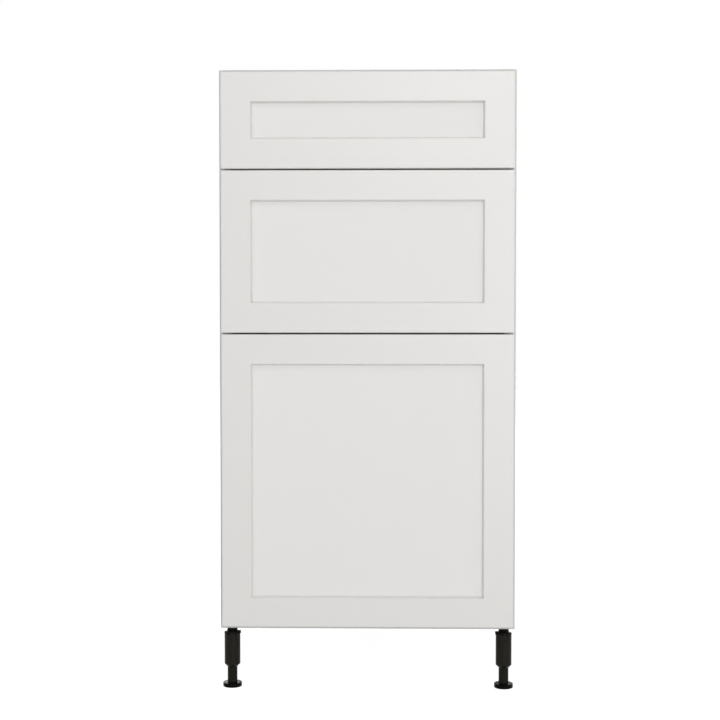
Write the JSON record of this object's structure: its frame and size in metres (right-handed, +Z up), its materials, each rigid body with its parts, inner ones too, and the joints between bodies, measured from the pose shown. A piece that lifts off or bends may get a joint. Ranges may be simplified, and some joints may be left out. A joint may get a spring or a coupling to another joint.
{
  "type": "kitchen base cabinet with drawers",
  "caption": "Narrow white kitchen base cabinet with stacked framed drawer fronts, telescopic runners and slim black adjustable legs, open on top to take a worktop.",
  "frame": {"origin": "on the floor, midway between the sides and between the front and rear faces", "axes": "+Z up, -Y towards the user at the drawer fronts, +X to the user's right"},
  "size_m": [0.4, 0.581, 0.842],
  "materials": {
    "front_lacquer": "satin off-white coating on routed fibreboard",
    "white_board": "white melamine-faced chipboard with a fine matt grain",
    "back_sheet": "white-faced hardboard",
    "box_board": "white-faced fibreboard, edges foiled",
    "rail_steel": "bright zinc-plated rolled steel",
    "screw_steel": "zinc-plated steel",
    "cam_metal": "die-cast zinc",
    "dowel_beech": "fluted beech",
    "leg_plastic": "satin near-black moulded plastic",
    "bumper_soft": "soft translucent plastic"
  },
  "bodies": {
    "carcass": {"side_panel_left": "white_board", "side_panel_right": "white_board", "bottom_panel": "white_board", "back_panel": "back_sheet", "top_rail_front": "white_board", "top_rail_back": "white_board", "cam_locks": "cam_metal", "cam_bolts": "screw_steel", "carcass_dowels": "dowel_beech", "carcass_screws": "screw_steel", "front_bumpers": "bumper_soft", "leg_sockets": "leg_plastic", "leg_column_front_left": "leg_plastic", "leg_column_front_right": "leg_plastic", "leg_column_rear_left": "leg_plastic", "leg_column_rear_right": "leg_plastic", "lower_runner_left_cabinet_rail": "rail_steel", "lower_runner_right_cabinet_rail": "rail_steel", "middle_runner_left_cabinet_rail": "rail_steel", "middle_runner_right_cabinet_rail": "rail_steel", "upper_runner_left_cabinet_rail": "rail_steel", "upper_runner_right_cabinet_rail": "rail_steel"},
    "lower_drawer": {"lower_drawer_front": "front_lacquer", "lower_drawer_box_front": "box_board", "lower_drawer_box_left": "box_board", "lower_drawer_box_right": "box_board", "lower_drawer_box_back": "box_board", "lower_drawer_box_bottom": "back_sheet", "lower_drawer_screws": "screw_steel", "lower_runner_left_drawer_rail": "rail_steel", "lower_runner_right_drawer_rail": "rail_steel"},
    "lower_left_centre_rail": {"lower_runner_left_centre_rail": "rail_steel"},
    "lower_right_centre_rail": {"lower_runner_right_centre_rail": "rail_steel"},
    "middle_drawer": {"middle_drawer_front": "front_lacquer", "middle_drawer_box_front": "box_board", "middle_drawer_box_left": "box_board", "middle_drawer_box_right": "box_board", "middle_drawer_box_back": "box_board", "middle_drawer_box_bottom": "back_sheet", "middle_drawer_screws": "screw_steel", "middle_runner_left_drawer_rail": "rail_steel", "middle_runner_right_drawer_rail": "rail_steel"},
    "middle_left_centre_rail": {"middle_runner_left_centre_rail": "rail_steel"},
    "middle_right_centre_rail": {"middle_runner_right_centre_rail": "rail_steel"},
    "upper_drawer": {"upper_drawer_front": "front_lacquer", "upper_drawer_box_front": "box_board", "upper_drawer_box_left": "box_board", "upper_drawer_box_right": "box_board", "upper_drawer_box_back": "box_board", "upper_drawer_box_bottom": "back_sheet", "upper_drawer_screws": "screw_steel", "upper_runner_left_drawer_rail": "rail_steel", "upper_runner_right_drawer_rail": "rail_steel"},
    "upper_left_centre_rail": {"upper_runner_left_centre_rail": "rail_steel"},
    "upper_right_centre_rail": {"upper_runner_right_centre_rail": "rail_steel"},
    "front_left_foot": {"leg_foot_front_left": "leg_plastic"},
    "front_right_foot": {"leg_foot_front_right": "leg_plastic"},
    "rear_left_foot": {"leg_foot_rear_left": "leg_plastic"},
    "rear_right_foot": {"leg_foot_rear_right": "leg_plastic"}
  },
  "joints": [
    {"name": "lower_drawer_slide", "type": "slide", "parent": "carcass", "child": "lower_drawer", "axis": [0, -1, 0], "range_m": [0, 0.5]},
    {"name": "lower_left_centre_rail_slide", "type": "slide", "parent": "carcass", "child": "lower_left_centre_rail", "axis": [0, -1, 0], "range_m": [0, 0.25]},
    {"name": "lower_right_centre_rail_slide", "type": "slide", "parent": "carcass", "child": "lower_right_centre_rail", "axis": [0, -1, 0], "range_m": [0, 0.25]},
    {"name": "middle_drawer_slide", "type": "slide", "parent": "carcass", "child": "middle_drawer", "axis": [0, -1, 0], "range_m": [0, 0.5]},
    {"name": "middle_left_centre_rail_slide", "type": "slide", "parent": "carcass", "child": "middle_left_centre_rail", "axis": [0, -1, 0], "range_m": [0, 0.25]},
    {"name": "middle_right_centre_rail_slide", "type": "slide", "parent": "carcass", "child": "middle_right_centre_rail", "axis": [0, -1, 0], "range_m": [0, 0.25]},
    {"name": "upper_drawer_slide", "type": "slide", "parent": "carcass", "child": "upper_drawer", "axis": [0, -1, 0], "range_m": [0, 0.5]},
    {"name": "upper_left_centre_rail_slide", "type": "slide", "parent": "carcass", "child": "upper_left_centre_rail", "axis": [0, -1, 0], "range_m": [0, 0.25]},
    {"name": "upper_right_centre_rail_slide", "type": "slide", "parent": "carcass", "child": "upper_right_centre_rail", "axis": [0, -1, 0], "range_m": [0, 0.25]},
    {"name": "front_left_foot_screw", "type": "slide", "parent": "carcass", "child": "front_left_foot", "axis": [0, 0, 1], "range_m": [-0.012, 0.018]},
    {"name": "front_right_foot_screw", "type": "slide", "parent": "carcass", "child": "front_right_foot", "axis": [0, 0, 1], "range_m": [-0.012, 0.018]},
    {"name": "rear_left_foot_screw", "type": "slide", "parent": "carcass", "child": "rear_left_foot", "axis": [0, 0, 1], "range_m": [-0.012, 0.018]},
    {"name": "rear_right_foot_screw", "type": "slide", "parent": "carcass", "child": "rear_right_foot", "axis": [0, 0, 1], "range_m": [-0.012, 0.018]}
  ],
  "couplings": [
    {"joint": "lower_left_centre_rail_slide", "follows": "lower_drawer_slide", "ratio": 0.5},
    {"joint": "lower_right_centre_rail_slide", "follows": "lower_drawer_slide", "ratio": 0.5},
    {"joint": "middle_left_centre_rail_slide", "follows": "middle_drawer_slide", "ratio": 0.5},
    {"joint": "middle_right_centre_rail_slide", "follows": "middle_drawer_slide", "ratio": 0.5},
    {"joint": "upper_left_centre_rail_slide", "follows": "upper_drawer_slide", "ratio": 0.5},
    {"joint": "upper_right_centre_rail_slide", "follows": "upper_drawer_slide", "ratio": 0.5}
  ]
}
